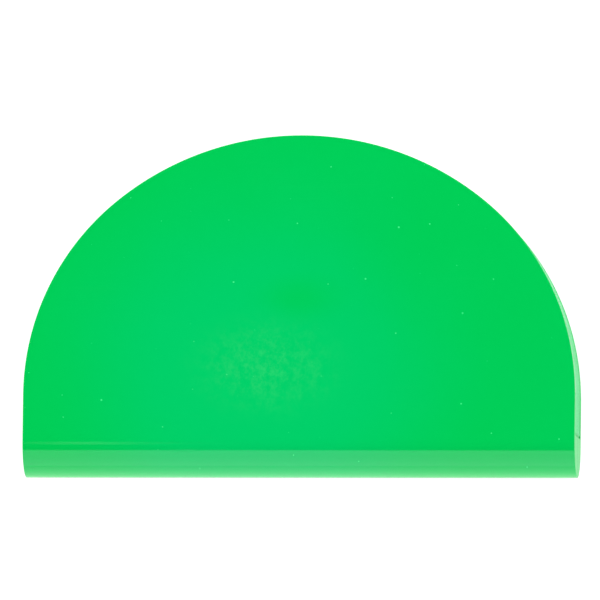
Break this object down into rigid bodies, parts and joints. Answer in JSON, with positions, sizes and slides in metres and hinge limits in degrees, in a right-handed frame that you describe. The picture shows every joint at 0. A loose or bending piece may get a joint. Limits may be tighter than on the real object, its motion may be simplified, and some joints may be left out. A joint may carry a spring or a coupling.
{
  "type": "circle template",
  "caption": "Pocket circle template set: template leaves with circular cut-outs swing out of a D-shaped case with a half-round spine.",
  "frame": {"origin": "centre of the closed case's footprint, on the outer face of the back cover", "axes": "+X along the straight spine, pivot corner at -X; +Y from the spine to the crown; +Z from the back cover out of the front cover"},
  "size_m": [0.12, 0.0738, 0.0147],
  "materials": {
    "cover_plastic": "opaque saturated green, high gloss, lightly scuffed",
    "leaf_plastic": "translucent green sheet with pale milled edges",
    "washer_plastic": "natural white, satin",
    "steel": "turned, lightly oiled",
    "spring_steel": "tempered, satin",
    "brass": "turned"
  },
  "bodies": {
    "case": {"front_cover": "cover_plastic", "back_cover": "cover_plastic", "pivot_post": "brass", "pivot_screw": "steel", "spring_washer": "spring_steel", "slip_washer_1": "washer_plastic", "slip_washer_2": "washer_plastic", "slip_washer_3": "washer_plastic", "slip_washer_4": "washer_plastic", "slip_washer_5": "washer_plastic", "slip_washer_6": "washer_plastic", "slip_washer_7": "washer_plastic", "spine_screws": "steel", "threaded_inserts": "brass", "dowel_pins": "steel"},
    "leaf_1": {"template_leaf_1": "leaf_plastic"},
    "leaf_2": {"template_leaf_2": "leaf_plastic"},
    "leaf_3": {"template_leaf_3": "leaf_plastic"},
    "leaf_4": {"template_leaf_4": "leaf_plastic"},
    "leaf_5": {"template_leaf_5": "leaf_plastic"},
    "leaf_6": {"template_leaf_6": "leaf_plastic"}
  },
  "joints": [
    {"name": "leaf_1_swing", "type": "hinge", "parent": "case", "child": "leaf_1", "pos_m": [-0.0539, -0.0217, 0.0026], "axis": [0, 0, 1], "range_deg": [0, 90]},
    {"name": "leaf_2_swing", "type": "hinge", "parent": "case", "child": "leaf_2", "pos_m": [-0.0539, -0.0217, 0.00435], "axis": [0, 0, 1], "range_deg": [0, 90]},
    {"name": "leaf_3_swing", "type": "hinge", "parent": "case", "child": "leaf_3", "pos_m": [-0.0539, -0.0217, 0.0061], "axis": [0, 0, 1], "range_deg": [0, 90]},
    {"name": "leaf_4_swing", "type": "hinge", "parent": "case", "child": "leaf_4", "pos_m": [-0.0539, -0.0217, 0.00785], "axis": [0, 0, 1], "range_deg": [0, 90]},
    {"name": "leaf_5_swing", "type": "hinge", "parent": "case", "child": "leaf_5", "pos_m": [-0.0539, -0.0217, 0.0096], "axis": [0, 0, 1], "range_deg": [0, 90]},
    {"name": "leaf_6_swing", "type": "hinge", "parent": "case", "child": "leaf_6", "pos_m": [-0.0539, -0.0217, 0.01135], "axis": [0, 0, 1], "range_deg": [0, 90]}
  ]
}
